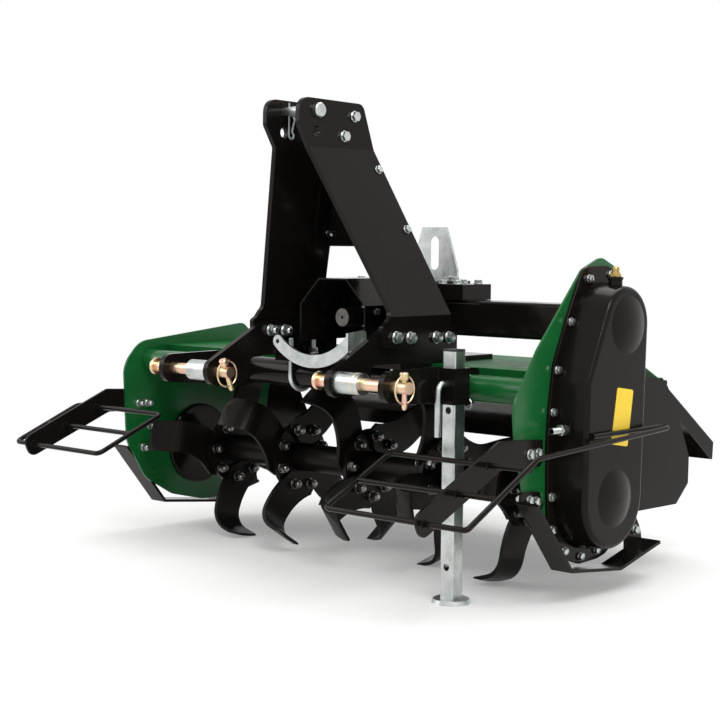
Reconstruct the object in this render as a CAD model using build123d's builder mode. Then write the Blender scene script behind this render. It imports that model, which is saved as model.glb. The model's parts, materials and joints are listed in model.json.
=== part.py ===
from build123d import *

import math
import os

# Rotary tiller for a compact tractor's three-point hitch.
# Millimetres. +Z is up, +Y points away from the tractor and +X towards the chain case.
# The origin is the centre of the end face of the power take-off stub.
# Places on the machine are given as (back, up) from the axis of the lower hitch pins.

# Hitch
PIN_Y = -187.0
PIN_Z = -106.0
PIN_RADIUS = 11.0
PIN_LENGTH = 221.0
PIN_HEAD_RADIUS = 17.0
PIN_HEAD_LENGTH = 8.0
PIN_END_ROOM = 12.0
EAR_RADIUS = 27.5
EAR_THICKNESS = 12.0
BAY_WIDTH = 118.5
BAY_SPACING = 455.0
SLEEVE_RADIUS = 20.0
SLEEVE_LENGTH = 60.0
LYNCH_RADIUS = 5.0
LYNCH_LENGTH = 62.0
RING_RADIUS = 26.0
RING_WIRE = 2.0

# Clearances
PIN_CLEARANCE = 0.25
SEAT = 0.2
PIVOT_CLEARANCE = 0.3

# Mast
MAST_HEIGHT = 460.0
MAST_THICKNESS = 10.0
MAST_TOP_HALF = 48.2
MAST_FOLD_LOW = 115.0
MAST_FOLD_HIGH = MAST_HEIGHT - 29.0
TOP_PIN_RADIUS = 9.5
TOP_PIN_HEAD = 14.0
TOP_PIN_BACK = 64.0
TOP_PIN_UP = MAST_HEIGHT + 39.0
SPACER_RADIUS = 9.0
BRACE_THICKNESS = 5.0
BRACE_LOW = 245.0
BRACE_HIGH = 415.0
BRACE_SET = 8.0
BRACE_DEPTH = 44.0

# Tube, side plates and hood
TUBE_BACK = 215.0
TUBE_UP = -14.0
TUBE_RADIUS = 25.0
TUBE_WALL = 4.0
SLEEVE_WALL = 2.5
SHEET = 3.0
LEFT_X = -612.0
RIGHT_X = 452.0
SIDE_THICKNESS = 5.0
DECK_UP = 20.0
DECK_FRONT = 262.0
DECK_LIP = -18.0
DECK_BEND_BACK = 560.0
HINGE_BACK = 640.0
HINGE_UP = -20.0
HINGE_ROD = 6.0
HINGE_KNUCKLE = 10.0
KNUCKLE_LENGTH = 60.0
DOOR_SLOPE = 34.0
DOOR_LENGTH = 248.0
DOOR_LIP = 34.0
DOOR_GAP = 5.0
DOOR_FLANGE = 40.0

# Drive line
DRIVE_BACK = 393.0
DRIVE_UP = 106.0
ROTOR_BACK = 359.0
ROTOR_UP = -211.5
STUB_RADIUS = 17.5
STUB_BORE = 3.0
STUB_LENGTH = 95.0
STUB_NECK = 16.0
STUB_SEAT = 26.0
GEARBOX_FRONT = 300.0
GEARBOX_REAR = 452.0
GEARBOX_HALF = 78.0
GEARBOX_TOP = 168.0
GEARBOX_NOSE = 44.0
GEARBOX_NOSE_DEPTH = 16.0
CRADLE_THICKNESS = 10.0
BEAM_SIZE = 70.0
BEAM_WALL = 5.0
FLANGE_THICKNESS = 6.0
CASE_DEPTH = 64.0
CASE_WALL = 4.0
CASE_EDGE = 10.0
DOME_RADIUS = 54.0
DOME_HEIGHT = 9.0
UPPER_CASE_RADIUS = 70.0
LOWER_CASE_RADIUS = 93.0

# Rotor
ROTOR_RADIUS = 191.5
SHAFT_RADIUS = 30.0
DISC_RADIUS = 77.0
DISC_THICKNESS = 10.0
DISC_SPACING = 204.0
DISC_COUNT = 5
TINES_PER_DISC = 4
TINE_THICKNESS = 8.0
TINE_BEND_RADIUS = 46.0
TINE_BEND_ANGLE = 74.0
TINE_BEND_ROOM = 6.0
TINE_REACH = 66.0
TINE_SWEEP = 28.0
TINE_STEP = 22.5
TIP_LEAD = 9.0
TIP_TRAIL = 11.0
TINE_PHASE = TINE_SWEEP + (TIP_TRAIL - TIP_LEAD) / 2 - TINE_STEP / 2
JOURNAL_RADIUS = 20.0

# Stand
STAND_SIZE = 30.0
STAND_WALL = 3.0
STAND_TOP_UP = 61.0
STAND_BACK = 143.5
SOCKET_SIZE = 41.0
SOCKET_WALL = 4.5
SOCKET_LOW = -38.0
SOCKET_HIGH = 28.0
STAND_PIN_RADIUS = 6.0
STAND_HOLE_RADIUS = 6.5
STAND_TRAVEL = 336.0
STAND_HOLE_PITCH = 48.8
FOOT_RADIUS = 36.5
FOOT_HEIGHT = 8.0
TIP_LIFT = ROTOR_RADIUS * math.cos(math.radians((TINE_STEP - TIP_LEAD - TIP_TRAIL) / 2))
GROUND_UP = ROTOR_UP - TIP_LIFT

# Guards and skids
GUARD_BAR = 5.0
GUARD_ARM_THICKNESS = 6.0
SKID_WIDTH = 46.0
SKID_THICKNESS = 6.0

bay_centre = BAY_SPACING / 2
inner_ear = bay_centre - BAY_WIDTH / 2
outer_ear = bay_centre + BAY_WIDTH / 2
ear_outside = outer_ear + EAR_THICKNESS
rotor_centre = (LEFT_X + RIGHT_X) / 2
stand_x = ear_outside + SOCKET_SIZE / 2

pieces = {}


def side(back, up):
    """Point of a side plane, measured back and up from the lower pins."""
    return (PIN_Y + back, PIN_Z + up)


def place(x, back, up):
    """Point in space, measured back and up from the lower pins."""
    return (x, PIN_Y + back, PIN_Z + up)


def keep(name, piece):
    """Label a finished piece and remember it for the export."""
    piece.label = name
    pieces[name] = piece


def join(*solids):
    """One part that holds several solids."""
    with BuildPart() as whole:
        for solid in solids:
            add(solid)
    return whole.part


def outline(corners):
    """Closed face from rows of (back, up, corner radius)."""
    points = [side(back, up) for back, up, radius in corners]
    radii = [radius for back, up, radius in corners]
    with BuildLine() as edge:
        FilletPolyline(*points, radius=radii, close=True)
    make_face(edge.edges())


def plate(corners, low_x, high_x, bores=()):
    """Flat plate between two X values; bores are rows of (back, up, radius)."""
    with BuildPart() as flat:
        with BuildSketch(Plane.YZ.offset(low_x)):
            outline(corners)
            for back, up, radius in bores:
                with Locations(side(back, up)):
                    Circle(radius, mode=Mode.SUBTRACT)
        extrude(amount=high_x - low_x)
    return flat.part


def band(points, thickness):
    """Corners of a strip that follows a path, with its thickness on the path's left."""
    normals = []
    for (x0, y0), (x1, y1) in zip(points, points[1:]):
        length = math.hypot(x1 - x0, y1 - y0)
        normals.append((-(y1 - y0) / length, (x1 - x0) / length))
    joined = [normals[0]]
    for (ax, ay), (bx, by) in zip(normals, normals[1:]):
        scale = 1 + ax * bx + ay * by
        joined.append(((ax + bx) / scale, (ay + by) / scale))
    joined.append(normals[-1])
    far = [(x + thickness * nx, y + thickness * ny) for (x, y), (nx, ny) in zip(points, joined)]
    return list(points) + far[::-1]


def rod(start, end, radius, bore=0.0):
    """Round bar or tube between two points."""
    axis = Vector(*end) - Vector(*start)
    with BuildPart() as bar:
        with BuildSketch(Plane(origin=start, z_dir=axis)):
            Circle(radius)
            if bore > 0:
                Circle(bore, mode=Mode.SUBTRACT)
        extrude(amount=axis.length)
    return bar.part


def block(low, high):
    """Box between two corners given as (x, back, up)."""
    size = [high[i] - low[i] for i in range(3)]
    middle = [(high[i] + low[i]) / 2 for i in range(3)]
    with BuildPart() as box:
        with Locations(place(*middle)):
            Box(*size)
    return box.part


# Headstock: two plates that carry the inner ends of the lower pins and the mast
HEADSTOCK_REAR = 338.0
HEADSTOCK_TOP = 92.0
HEADSTOCK_SEAT = 26.0
headstock_outline = (
    (-EAR_RADIUS, -EAR_RADIUS, EAR_RADIUS - 1),
    (-EAR_RADIUS, EAR_RADIUS - 12, EAR_RADIUS - 6),
    (118, HEADSTOCK_TOP, 12),
    (HEADSTOCK_REAR, HEADSTOCK_TOP, 12),
    (HEADSTOCK_REAR, HEADSTOCK_SEAT, 4),
    (86, HEADSTOCK_SEAT, 14),
    (86, -19, 10),
    (40, -EAR_RADIUS, 20),
)
pin_bore = (0, 0, PIN_RADIUS + PIN_CLEARANCE)
keep("headstock_plates", join(*[plate(headstock_outline, low, low + EAR_THICKNESS, (pin_bore,))
                                for low in (-inner_ear, inner_ear - EAR_THICKNESS)]))

# Outer ears of the lower pins, clamped on the cross tube
ear_outline = (
    (-EAR_RADIUS, -EAR_RADIUS, EAR_RADIUS - 1),
    (-EAR_RADIUS, EAR_RADIUS, EAR_RADIUS - 1),
    (120, 29, 10),
    (246, 22, 12),
    (238, -42, 16),
    (190, -50, 16),
    (110, -38, 10),
)
ear_bores = (pin_bore, (TUBE_BACK, TUBE_UP, TUBE_RADIUS + SEAT))
keep("ear_plates", join(*[plate(ear_outline, low, low + EAR_THICKNESS, ear_bores)
                          for low in (-ear_outside, outer_ear)]))

# Lower pins, their sleeves and lynch pins
pin_head_x = {"left": -ear_outside - PIN_END_ROOM - 29, "right": inner_ear - EAR_THICKNESS - 41}
with BuildPart() as lower_pins:
    for start in pin_head_x.values():
        with BuildSketch(Plane.YZ.offset(start)):
            with Locations(side(0, 0)):
                Circle(PIN_RADIUS)
        extrude(amount=PIN_LENGTH)
        with BuildSketch(Plane.YZ.offset(start)):
            with Locations(side(0, 0)):
                Circle(PIN_HEAD_RADIUS)
        extrude(amount=PIN_HEAD_LENGTH)
        tip = start + PIN_LENGTH - PIN_END_ROOM
        with Locations(place(tip, 0, 0)):
            Cylinder(LYNCH_RADIUS + PIN_CLEARANCE, 4 * PIN_RADIUS, mode=Mode.SUBTRACT)
keep("lower_pins", lower_pins.part)

with BuildPart() as hitch_sleeves:
    for low in (-inner_ear - SLEEVE_LENGTH, inner_ear):
        with BuildSketch(Plane.YZ.offset(low)):
            with Locations(side(0, 0)):
                Circle(SLEEVE_RADIUS)
                Circle(PIN_RADIUS + PIN_CLEARANCE, mode=Mode.SUBTRACT)
        extrude(amount=SLEEVE_LENGTH)
keep("hitch_sleeves", hitch_sleeves.part)

with BuildPart() as lynch_pins:
    for start in pin_head_x.values():
        tip = start + PIN_LENGTH - PIN_END_ROOM
        with Locations(place(tip, 0, -6)):
            Cylinder(LYNCH_RADIUS, LYNCH_LENGTH)
        with Locations(place(tip, 0, 21)):
            Cylinder(LYNCH_RADIUS + 3, 10)
        with Locations(Location(place(tip + 1, 0, -2), (0, 90, 0))):
            Torus(RING_RADIUS, RING_WIRE)
keep("lynch_pins", lynch_pins.part)

# Mast: two bent plates, wide at the foot and close together at the top link
mast_foot_x = inner_ear + MAST_THICKNESS
mast_side = (
    (109, 57, 5),
    (107, 97, 5),
    (119, 104, 8),
    (134, 122, 14),
    (40, MAST_FOLD_HIGH, 30),
    (TOP_PIN_BACK - 49, TOP_PIN_UP - 27, 14),
    (TOP_PIN_BACK - 48, TOP_PIN_UP + 23, 25),
    (190, TOP_PIN_UP + 19, 18),
    (222, MAST_FOLD_HIGH, 30),
    (306, MAST_FOLD_LOW, 8),
    (312, 57, 8),
)
mast_path = (
    (mast_foot_x, 40),
    (mast_foot_x, MAST_FOLD_LOW),
    (MAST_TOP_HALF, MAST_FOLD_HIGH),
    (MAST_TOP_HALF, TOP_PIN_UP + 41),
)
mast_bores = (
    (TOP_PIN_BACK, TOP_PIN_UP, TOP_PIN_RADIUS + PIN_CLEARANCE),
    (TOP_PIN_BACK - 2, MAST_HEIGHT, TOP_PIN_RADIUS + PIN_CLEARANCE),
)
SWEEP_ROOM = 400.0


def mast_band(turn):
    """Front view of one mast plate, from the middle outwards."""
    corners = band(mast_path, MAST_THICKNESS)
    return [(turn * x, PIN_Z + up) for x, up in corners]


mast_plates = []
for turn in (-1, 1):
    with BuildPart() as mast:
        with BuildSketch(Plane.XZ.offset(-PIN_Y - SWEEP_ROOM)):
            with BuildLine():
                Polyline(*mast_band(turn), close=True)
            make_face()
        extrude(amount=SWEEP_ROOM)
        with BuildSketch(Plane.YZ.offset(-SWEEP_ROOM)):
            outline(mast_side)
            for back, up, radius in mast_bores:
                with Locations(side(back, up)):
                    Circle(radius, mode=Mode.SUBTRACT)
        extrude(amount=2 * SWEEP_ROOM, mode=Mode.INTERSECT)
    mast_plates.append(mast.part)
keep("mast_plates", join(*mast_plates))


def mast_inside(up):
    """Half width between the mast plates at a height on their leaning part."""
    share = (up - MAST_FOLD_LOW) / (MAST_FOLD_HIGH - MAST_FOLD_LOW)
    lean = math.atan2(mast_foot_x - MAST_TOP_HALF, MAST_FOLD_HIGH - MAST_FOLD_LOW)
    return mast_foot_x + share * (MAST_TOP_HALF - mast_foot_x) - MAST_THICKNESS / math.cos(lean)


# Brace between the mast plates: a channel whose flanges lie on the plates' inner faces
rear_slope = (306 - 222) / (MAST_FOLD_HIGH - MAST_FOLD_LOW)


def mast_rear(up):
    """Back edge of the mast plates at a height."""
    return 306 - (up - MAST_FOLD_LOW) * rear_slope


def between_plates(inset):
    """Front view of the room between the mast plates over the height of the brace."""
    low_half = mast_inside(BRACE_LOW) - inset
    high_half = mast_inside(BRACE_HIGH) - inset
    with BuildLine() as edge:
        Polyline(
            (-low_half, PIN_Z + BRACE_LOW),
            (low_half, PIN_Z + BRACE_LOW),
            (high_half, PIN_Z + BRACE_HIGH),
            (-high_half, PIN_Z + BRACE_HIGH),
            close=True,
        )
    make_face(edge.edges())


def behind_edge(near, far):
    """Side view of a strip that follows the plates' back edge, between two distances from it."""
    outline((
        (mast_rear(BRACE_LOW) - near, BRACE_LOW, 0),
        (mast_rear(BRACE_LOW) - far, BRACE_LOW, 0),
        (mast_rear(BRACE_HIGH) - far, BRACE_HIGH, 0),
        (mast_rear(BRACE_HIGH) - near, BRACE_HIGH, 0),
    ))


with BuildPart() as brace_hollow:
    with BuildSketch(Plane.XZ.offset(-PIN_Y - SWEEP_ROOM)):
        between_plates(BRACE_THICKNESS)
    extrude(amount=SWEEP_ROOM)
    with BuildSketch(Plane.YZ.offset(-SWEEP_ROOM)):
        behind_edge(BRACE_SET + BRACE_THICKNESS, BRACE_SET + BRACE_DEPTH)
    extrude(amount=2 * SWEEP_ROOM, mode=Mode.INTERSECT)
with BuildPart() as mast_brace:
    with BuildSketch(Plane.XZ.offset(-PIN_Y - SWEEP_ROOM)):
        between_plates(SEAT)
    extrude(amount=SWEEP_ROOM)
    with BuildSketch(Plane.YZ.offset(-SWEEP_ROOM)):
        behind_edge(BRACE_SET, BRACE_SET + BRACE_DEPTH)
    extrude(amount=2 * SWEEP_ROOM, mode=Mode.INTERSECT)
    add(brace_hollow.part, mode=Mode.SUBTRACT)
keep("mast_brace", mast_brace.part)

# Top link pin, and the two spacer bolts between the mast plates
TOP_PIN_OUT = 16.0
with BuildPart() as top_link_pin:
    with BuildSketch(Plane.YZ.offset(-MAST_TOP_HALF - TOP_PIN_OUT)):
        with Locations(side(TOP_PIN_BACK, TOP_PIN_UP)):
            Circle(TOP_PIN_RADIUS)
    extrude(amount=2 * MAST_TOP_HALF + TOP_PIN_OUT + 1)
    with BuildSketch(Plane.YZ.offset(MAST_TOP_HALF)):
        with Locations(side(TOP_PIN_BACK, TOP_PIN_UP)):
            Circle(TOP_PIN_HEAD)
    extrude(amount=8)
keep("top_link_pin", top_link_pin.part)

with BuildPart() as mast_spacers:
    spacer_half = MAST_TOP_HALF - MAST_THICKNESS
    with BuildSketch(Plane.YZ.offset(-spacer_half)):
        with Locations(side(165, TOP_PIN_UP - 6), side(137, MAST_HEIGHT - 6)):
            Circle(SPACER_RADIUS)
    extrude(amount=2 * spacer_half)
keep("mast_spacers", mast_spacers.part)

# Cross tube and the black sleeve on its middle
keep("cross_tube", rod(place(LEFT_X, TUBE_BACK, TUBE_UP), place(RIGHT_X, TUBE_BACK, TUBE_UP),
                       TUBE_RADIUS, TUBE_RADIUS - TUBE_WALL))

with BuildPart() as tube_sleeve:
    with BuildSketch(Plane.YZ.offset(-outer_ear)):
        with Locations(side(TUBE_BACK, TUBE_UP)):
            Circle(TUBE_RADIUS + SLEEVE_WALL)
            Circle(TUBE_RADIUS + SEAT, mode=Mode.SUBTRACT)
    extrude(amount=2 * outer_ear)
keep("tube_sleeve", tube_sleeve.part)

# Saddle bar under the headstock plates, and the U-bolts that clamp it on the tube
SADDLE_HALF = 46.0
CLAMP_INSET = 31.0
CLAMP_WIRE = 5.0
CLAMP_TOP = 58.0
clamp_leg = TUBE_RADIUS + SLEEVE_WALL + CLAMP_WIRE + SEAT
clamp_x = inner_ear - CLAMP_INSET
saddle_low = TUBE_UP + TUBE_RADIUS + SLEEVE_WALL + SEAT
with BuildPart() as tube_saddle:
    with Locations(place(0, TUBE_BACK, (saddle_low + HEADSTOCK_SEAT) / 2)):
        Box(2 * inner_ear, 2 * SADDLE_HALF, HEADSTOCK_SEAT - saddle_low)
    for x in (-clamp_x, clamp_x):
        for back in (TUBE_BACK - clamp_leg, TUBE_BACK + clamp_leg):
            with Locations(place(x, back, HEADSTOCK_SEAT)):
                Cylinder(CLAMP_WIRE + SEAT, 2 * HEADSTOCK_SEAT, mode=Mode.SUBTRACT)
keep("tube_saddle", tube_saddle.part)


def clamp(x):
    """U-bolt round the tube at one place along it."""
    with BuildPart() as wire:
        with BuildLine() as path:
            low_front = Vector(*place(x, TUBE_BACK - clamp_leg, TUBE_UP))
            low_rear = Vector(*place(x, TUBE_BACK + clamp_leg, TUBE_UP))
            Line(place(x, TUBE_BACK - clamp_leg, CLAMP_TOP), low_front)
            ThreePointArc(low_front, place(x, TUBE_BACK, TUBE_UP - clamp_leg), low_rear)
            Line(low_rear, place(x, TUBE_BACK + clamp_leg, CLAMP_TOP))
        with BuildSketch(Plane(origin=place(x, TUBE_BACK - clamp_leg, CLAMP_TOP), z_dir=(0, 0, -1))):
            Circle(CLAMP_WIRE)
        sweep(path=path.wire())
    return wire.part


keep("tube_clamp", join(clamp(-clamp_x), clamp(clamp_x)))

# Hood deck: one sheet, down behind the tube, level over the rotor and down to the door hinge
deck_path = [
    side(DECK_FRONT + SHEET, DECK_LIP),
    side(DECK_FRONT + SHEET, DECK_UP - SHEET),
    side(DECK_BEND_BACK, DECK_UP - SHEET),
    side(HINGE_BACK - HINGE_KNUCKLE - 2, HINGE_UP + 4),
]
with BuildPart() as hood_deck:
    with BuildSketch(Plane.YZ.offset(LEFT_X)):
        with BuildLine():
            Polyline(*band(deck_path, SHEET), close=True)
        make_face()
    extrude(amount=RIGHT_X - LEFT_X)
keep("hood_deck", hood_deck.part)

# Side plates of the hood
left_outline = (
    (140, -20, 60),
    (186, 30, 60),
    (500, 62, 26),
    (600, -24, 30),
    (560, -240, 60),
    (507, -315, 50),
    (449, -344, 40),
    (372, -344, 60),
    (282, -323, 60),
    (202, -278, 60),
    (148, -190, 60),
)
right_outline = (
    (141, -31, 60),
    (210, 65, 60),
    (344, 207, 20),
    (405, 230, 30),
    (458, 209, 30),
    (520, 60, 40),
    (556, 0, 20),
    (556, -240, 60),
    (470, -318, 40),
    (410, -338, 40),
    (352, -338, 40),
    (282, -323, 60),
    (189, -247, 60),
    (147, -90, 60),
)
shaft_bore = ((ROTOR_BACK, ROTOR_UP, JOURNAL_RADIUS + 6),)
keep("side_plate_left", plate(left_outline, LEFT_X - SIDE_THICKNESS, LEFT_X, shaft_bore))
keep("side_plate_right", plate(right_outline, RIGHT_X, RIGHT_X + SIDE_THICKNESS, shaft_bore))

# Rear wings that close the ends of the hood behind the side plates
wing_outline = (
    (505, 10, 4),
    (572, -5, 4),
    (634, -15, 8),
    (674, -66, 20),
    (730, -174, 20),
    (729, -229, 6),
    (685, -267, 6),
    (545, -265, 4),
    (505, -262, 4),
)
keep("wings", join(plate(wing_outline, LEFT_X - SIDE_THICKNESS - SHEET, LEFT_X - SIDE_THICKNESS),
                   plate(wing_outline, RIGHT_X + SIDE_THICKNESS, RIGHT_X + SIDE_THICKNESS + SHEET)))

# Rear door with side flanges and a lip, hung on a rod at its top edge
door_low = LEFT_X + DOOR_GAP
door_high = RIGHT_X - DOOR_GAP
slope = math.radians(DOOR_SLOPE)
door_end = (HINGE_BACK + DOOR_LENGTH * math.cos(slope), HINGE_UP - DOOR_LENGTH * math.sin(slope))
KNUCKLE_COUNT = 5
knuckle_pitch = (door_high - door_low - KNUCKLE_LENGTH) / (KNUCKLE_COUNT - 1)
door_start = (HINGE_BACK + HINGE_KNUCKLE * math.cos(slope) - 3, HINGE_UP - HINGE_KNUCKLE * math.sin(slope) + 3)
with BuildPart() as rear_door:
    with BuildSketch(Plane.YZ.offset(door_low)):
        with BuildLine():
            Polyline(*band([side(*door_start), side(*door_end),
                            side(door_end[0] - 3, door_end[1] - DOOR_LIP)], SHEET), close=True)
        make_face()
    extrude(amount=door_high - door_low)
    with BuildSketch(Plane.YZ.offset(door_low)) as flange_sketch:
        with BuildLine():
            Polyline(
                side(*door_start),
                side(*door_end),
                side(door_end[0] - 3, door_end[1] - DOOR_LIP),
                side(door_start[0] + 16, door_start[1] - DOOR_FLANGE),
                close=True,
            )
        make_face()
    extrude(amount=SHEET)
    with BuildSketch(Plane.YZ.offset(door_high - SHEET)):
        add(flange_sketch.sketch_local)
    extrude(amount=SHEET)
    for step in range(KNUCKLE_COUNT):
        with BuildSketch(Plane.YZ.offset(door_low + step * knuckle_pitch)):
            with Locations(side(HINGE_BACK, HINGE_UP)):
                Circle(HINGE_KNUCKLE)
        extrude(amount=KNUCKLE_LENGTH)
    with BuildSketch(Plane.YZ.offset(LEFT_X)):
        with Locations(side(HINGE_BACK, HINGE_UP)):
            Circle(HINGE_ROD + PIVOT_CLEARANCE)
    extrude(amount=RIGHT_X - LEFT_X, mode=Mode.SUBTRACT)
keep("rear_door", rear_door.part)

keep("hinge_rod", rod(place(LEFT_X - SIDE_THICKNESS, HINGE_BACK, HINGE_UP),
                      place(RIGHT_X + SIDE_THICKNESS, HINGE_BACK, HINGE_UP), HINGE_ROD))

# Gearbox, its cradle on the deck, the top plate and the output housing
keep("gearbox_cradle", block((-inner_ear + EAR_THICKNESS, DECK_FRONT + SHEET, DECK_UP),
                             (inner_ear - EAR_THICKNESS, GEARBOX_REAR + 16, DECK_UP + CRADLE_THICKNESS)))
with BuildPart() as gearbox:
    with Locations(place(0, (GEARBOX_FRONT + GEARBOX_REAR) / 2,
                         (DECK_UP + CRADLE_THICKNESS + GEARBOX_TOP) / 2)):
        Box(2 * GEARBOX_HALF, GEARBOX_REAR - GEARBOX_FRONT, GEARBOX_TOP - DECK_UP - CRADLE_THICKNESS)
    fillet(gearbox.edges().filter_by(Axis.Z), 24)
    with BuildSketch(Plane.XZ.offset(-PIN_Y - GEARBOX_FRONT)):
        with Locations((0, PIN_Z + DRIVE_UP)):
            Circle(GEARBOX_NOSE)
    extrude(amount=GEARBOX_NOSE_DEPTH)
    with BuildSketch(Plane.XZ.offset(-PIN_Y - GEARBOX_FRONT + GEARBOX_NOSE_DEPTH)):
        with Locations((0, PIN_Z + DRIVE_UP)):
            Circle(STUB_NECK + PIVOT_CLEARANCE)
    extrude(amount=-STUB_SEAT, mode=Mode.SUBTRACT)
keep("gearbox", gearbox.part)

keep("gearbox_top_plate", block((-GEARBOX_HALF - 10, GEARBOX_FRONT + 2, GEARBOX_TOP),
                                (GEARBOX_HALF + 10, GEARBOX_REAR + 26, GEARBOX_TOP + 8)))

beam_low = DRIVE_UP - BEAM_SIZE / 2
beam_high = DRIVE_UP + BEAM_SIZE / 2
with BuildPart() as drive_beam:
    with BuildSketch(Plane.YZ.offset(GEARBOX_HALF)):
        with Locations(side(DRIVE_BACK, DRIVE_UP)):
            RectangleRounded(BEAM_SIZE, BEAM_SIZE, 8)
            RectangleRounded(BEAM_SIZE - 2 * BEAM_WALL, BEAM_SIZE - 2 * BEAM_WALL, 4, mode=Mode.SUBTRACT)
    extrude(amount=RIGHT_X - GEARBOX_HALF)
keep("drive_beam", drive_beam.part)

keep("beam_saddle", block((GEARBOX_HALF + 10, DRIVE_BACK - 45, beam_high), (173, DRIVE_BACK + 45, GEARBOX_TOP + 4)))

# Slotted hanger of the rear door's chain
BRACKET_THICKNESS = 6.0
bracket_low = GEARBOX_TOP + 8
with BuildPart() as door_bracket:
    with BuildSketch(Plane.XZ.offset(-PIN_Y - GEARBOX_REAR - 20)):
        with BuildLine():
            Polyline(
                (-62, PIN_Z + bracket_low),
                (62, PIN_Z + bracket_low),
                (62, PIN_Z + bracket_low + 22),
                (32, PIN_Z + 286),
                (-32, PIN_Z + 286),
                (-62, PIN_Z + bracket_low + 22),
                close=True,
            )
        make_face()
        with Locations((0, PIN_Z + 232)):
            SlotOverall(70, 26, rotation=90, mode=Mode.SUBTRACT)
    extrude(amount=BRACKET_THICKNESS)
keep("door_bracket", door_bracket.part)

# Power take-off stub with its shield
with BuildPart() as pto_shaft:
    with BuildSketch(Plane.XZ):
        Circle(STUB_RADIUS)
        Circle(STUB_BORE, mode=Mode.SUBTRACT)
    extrude(amount=-STUB_LENGTH)
    with BuildSketch(Plane.XZ.offset(-STUB_LENGTH)):
        Circle(STUB_NECK)
        Circle(STUB_BORE, mode=Mode.SUBTRACT)
    extrude(amount=-(PIN_Y + GEARBOX_FRONT - GEARBOX_NOSE_DEPTH + STUB_SEAT - 2 - STUB_LENGTH))
keep("pto_shaft", pto_shaft.part)

SHIELD_FRONT = 158.0
shield_path = [
    (87, PIN_Z + 58),
    (87, PIN_Z + 132),
    (37, PIN_Z + 183),
    (-37, PIN_Z + 183),
    (-87, PIN_Z + 132),
    (-87, PIN_Z + 58),
]
with BuildPart() as pto_shield:
    with BuildSketch(Plane.XZ.offset(-PIN_Y - GEARBOX_FRONT)):
        with BuildLine():
            Polyline(*band(shield_path, SHEET), close=True)
        make_face()
    extrude(amount=GEARBOX_FRONT - SHIELD_FRONT)
    with BuildSketch(Plane.XZ.offset(-PIN_Y - GEARBOX_FRONT)):
        with BuildLine():
            Polyline(*shield_path, close=True)
        make_face()
        with Locations((0, PIN_Z + DRIVE_UP)):
            Circle(GEARBOX_NOSE + SEAT, mode=Mode.SUBTRACT)
    extrude(amount=SHEET)
keep("pto_shield", pto_shield.part)

# Curved rest for the end of an unhitched drive shaft
REST_RADIUS = 133.0
REST_WIDTH = 24.0
REST_THICKNESS = 5.0
REST_EYE = 4.5
REST_EYE_TURN = math.radians(228)
REST_BACK = 36.0
REST_FOLD = 50.0
REST_CENTRE_IN = 94.0
REST_CENTRE_UP = 163.0
rest_edge = inner_ear - EAR_THICKNESS
rest_x = rest_edge - REST_CENTRE_IN
rest_z = PIN_Z + REST_CENTRE_UP
eye_reach = (math.cos(REST_EYE_TURN), math.sin(REST_EYE_TURN))
fold_low = REST_CENTRE_UP - math.sqrt((REST_RADIUS + REST_WIDTH / 2) ** 2 - REST_CENTRE_IN ** 2)
fold_high = REST_CENTRE_UP - math.sqrt((REST_RADIUS - REST_WIDTH / 2) ** 2 - REST_CENTRE_IN ** 2)
with BuildPart() as pto_rest:
    with BuildSketch(Plane.XZ.offset(-PIN_Y - REST_BACK - REST_THICKNESS)):
        with Locations((rest_x, rest_z)):
            Circle(REST_RADIUS + REST_WIDTH / 2)
            Circle(REST_RADIUS - REST_WIDTH / 2, mode=Mode.SUBTRACT)
        with BuildLine() as sector:
            Polyline(
                (rest_x, rest_z),
                (rest_x + 2 * REST_RADIUS * eye_reach[0], rest_z + 2 * REST_RADIUS * eye_reach[1]),
                (rest_edge, rest_z - 2 * REST_RADIUS),
                (rest_edge, rest_z),
                close=True,
            )
        make_face(sector.edges(), mode=Mode.INTERSECT)
        with Locations((rest_x + REST_RADIUS * eye_reach[0], rest_z + REST_RADIUS * eye_reach[1])):
            Circle(REST_WIDTH / 2)
            Circle(REST_EYE, mode=Mode.SUBTRACT)
    extrude(amount=REST_THICKNESS)
    with BuildSketch(Plane.YZ.offset(rest_edge - REST_THICKNESS)):
        outline((
            (REST_BACK, fold_high, 0),
            (REST_BACK + REST_FOLD, fold_high + 4, 6),
            (REST_BACK + REST_FOLD, fold_low + 8, 6),
            (REST_BACK, fold_low, 0),
        ))
    extrude(amount=REST_THICKNESS)
keep("pto_rest", pto_rest.part)

# Chain case on the outside of the right side plate
flange_x = RIGHT_X + SIDE_THICKNESS
case_x = flange_x + FLANGE_THICKNESS


def case_outline(upper, lower, grow):
    """Outline of the chain case: two round ends and a bulged front edge."""
    with BuildSketch() as shape:
        with Locations(side(DRIVE_BACK, DRIVE_UP)):
            Circle(upper + grow)
        with Locations(side(ROTOR_BACK, ROTOR_UP)):
            Circle(lower + grow)
        with Locations(side(281, 2), side(279, -92)):
            Circle(12 + grow)
        make_hull()
    return shape.sketch


flange_outline = (
    (350, 214, 34),
    (428, 214, 40),
    (498, 150, 60),
    (480, -40, 90),
    (492, -215, 80),
    (440, -330, 60),
    (370, -342, 50),
    (310, -318, 60),
    (256, -235, 60),
    (238, -105, 60),
    (246, -10, 60),
)
keep("chain_flange", plate(flange_outline, flange_x, case_x, shaft_bore))

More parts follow.
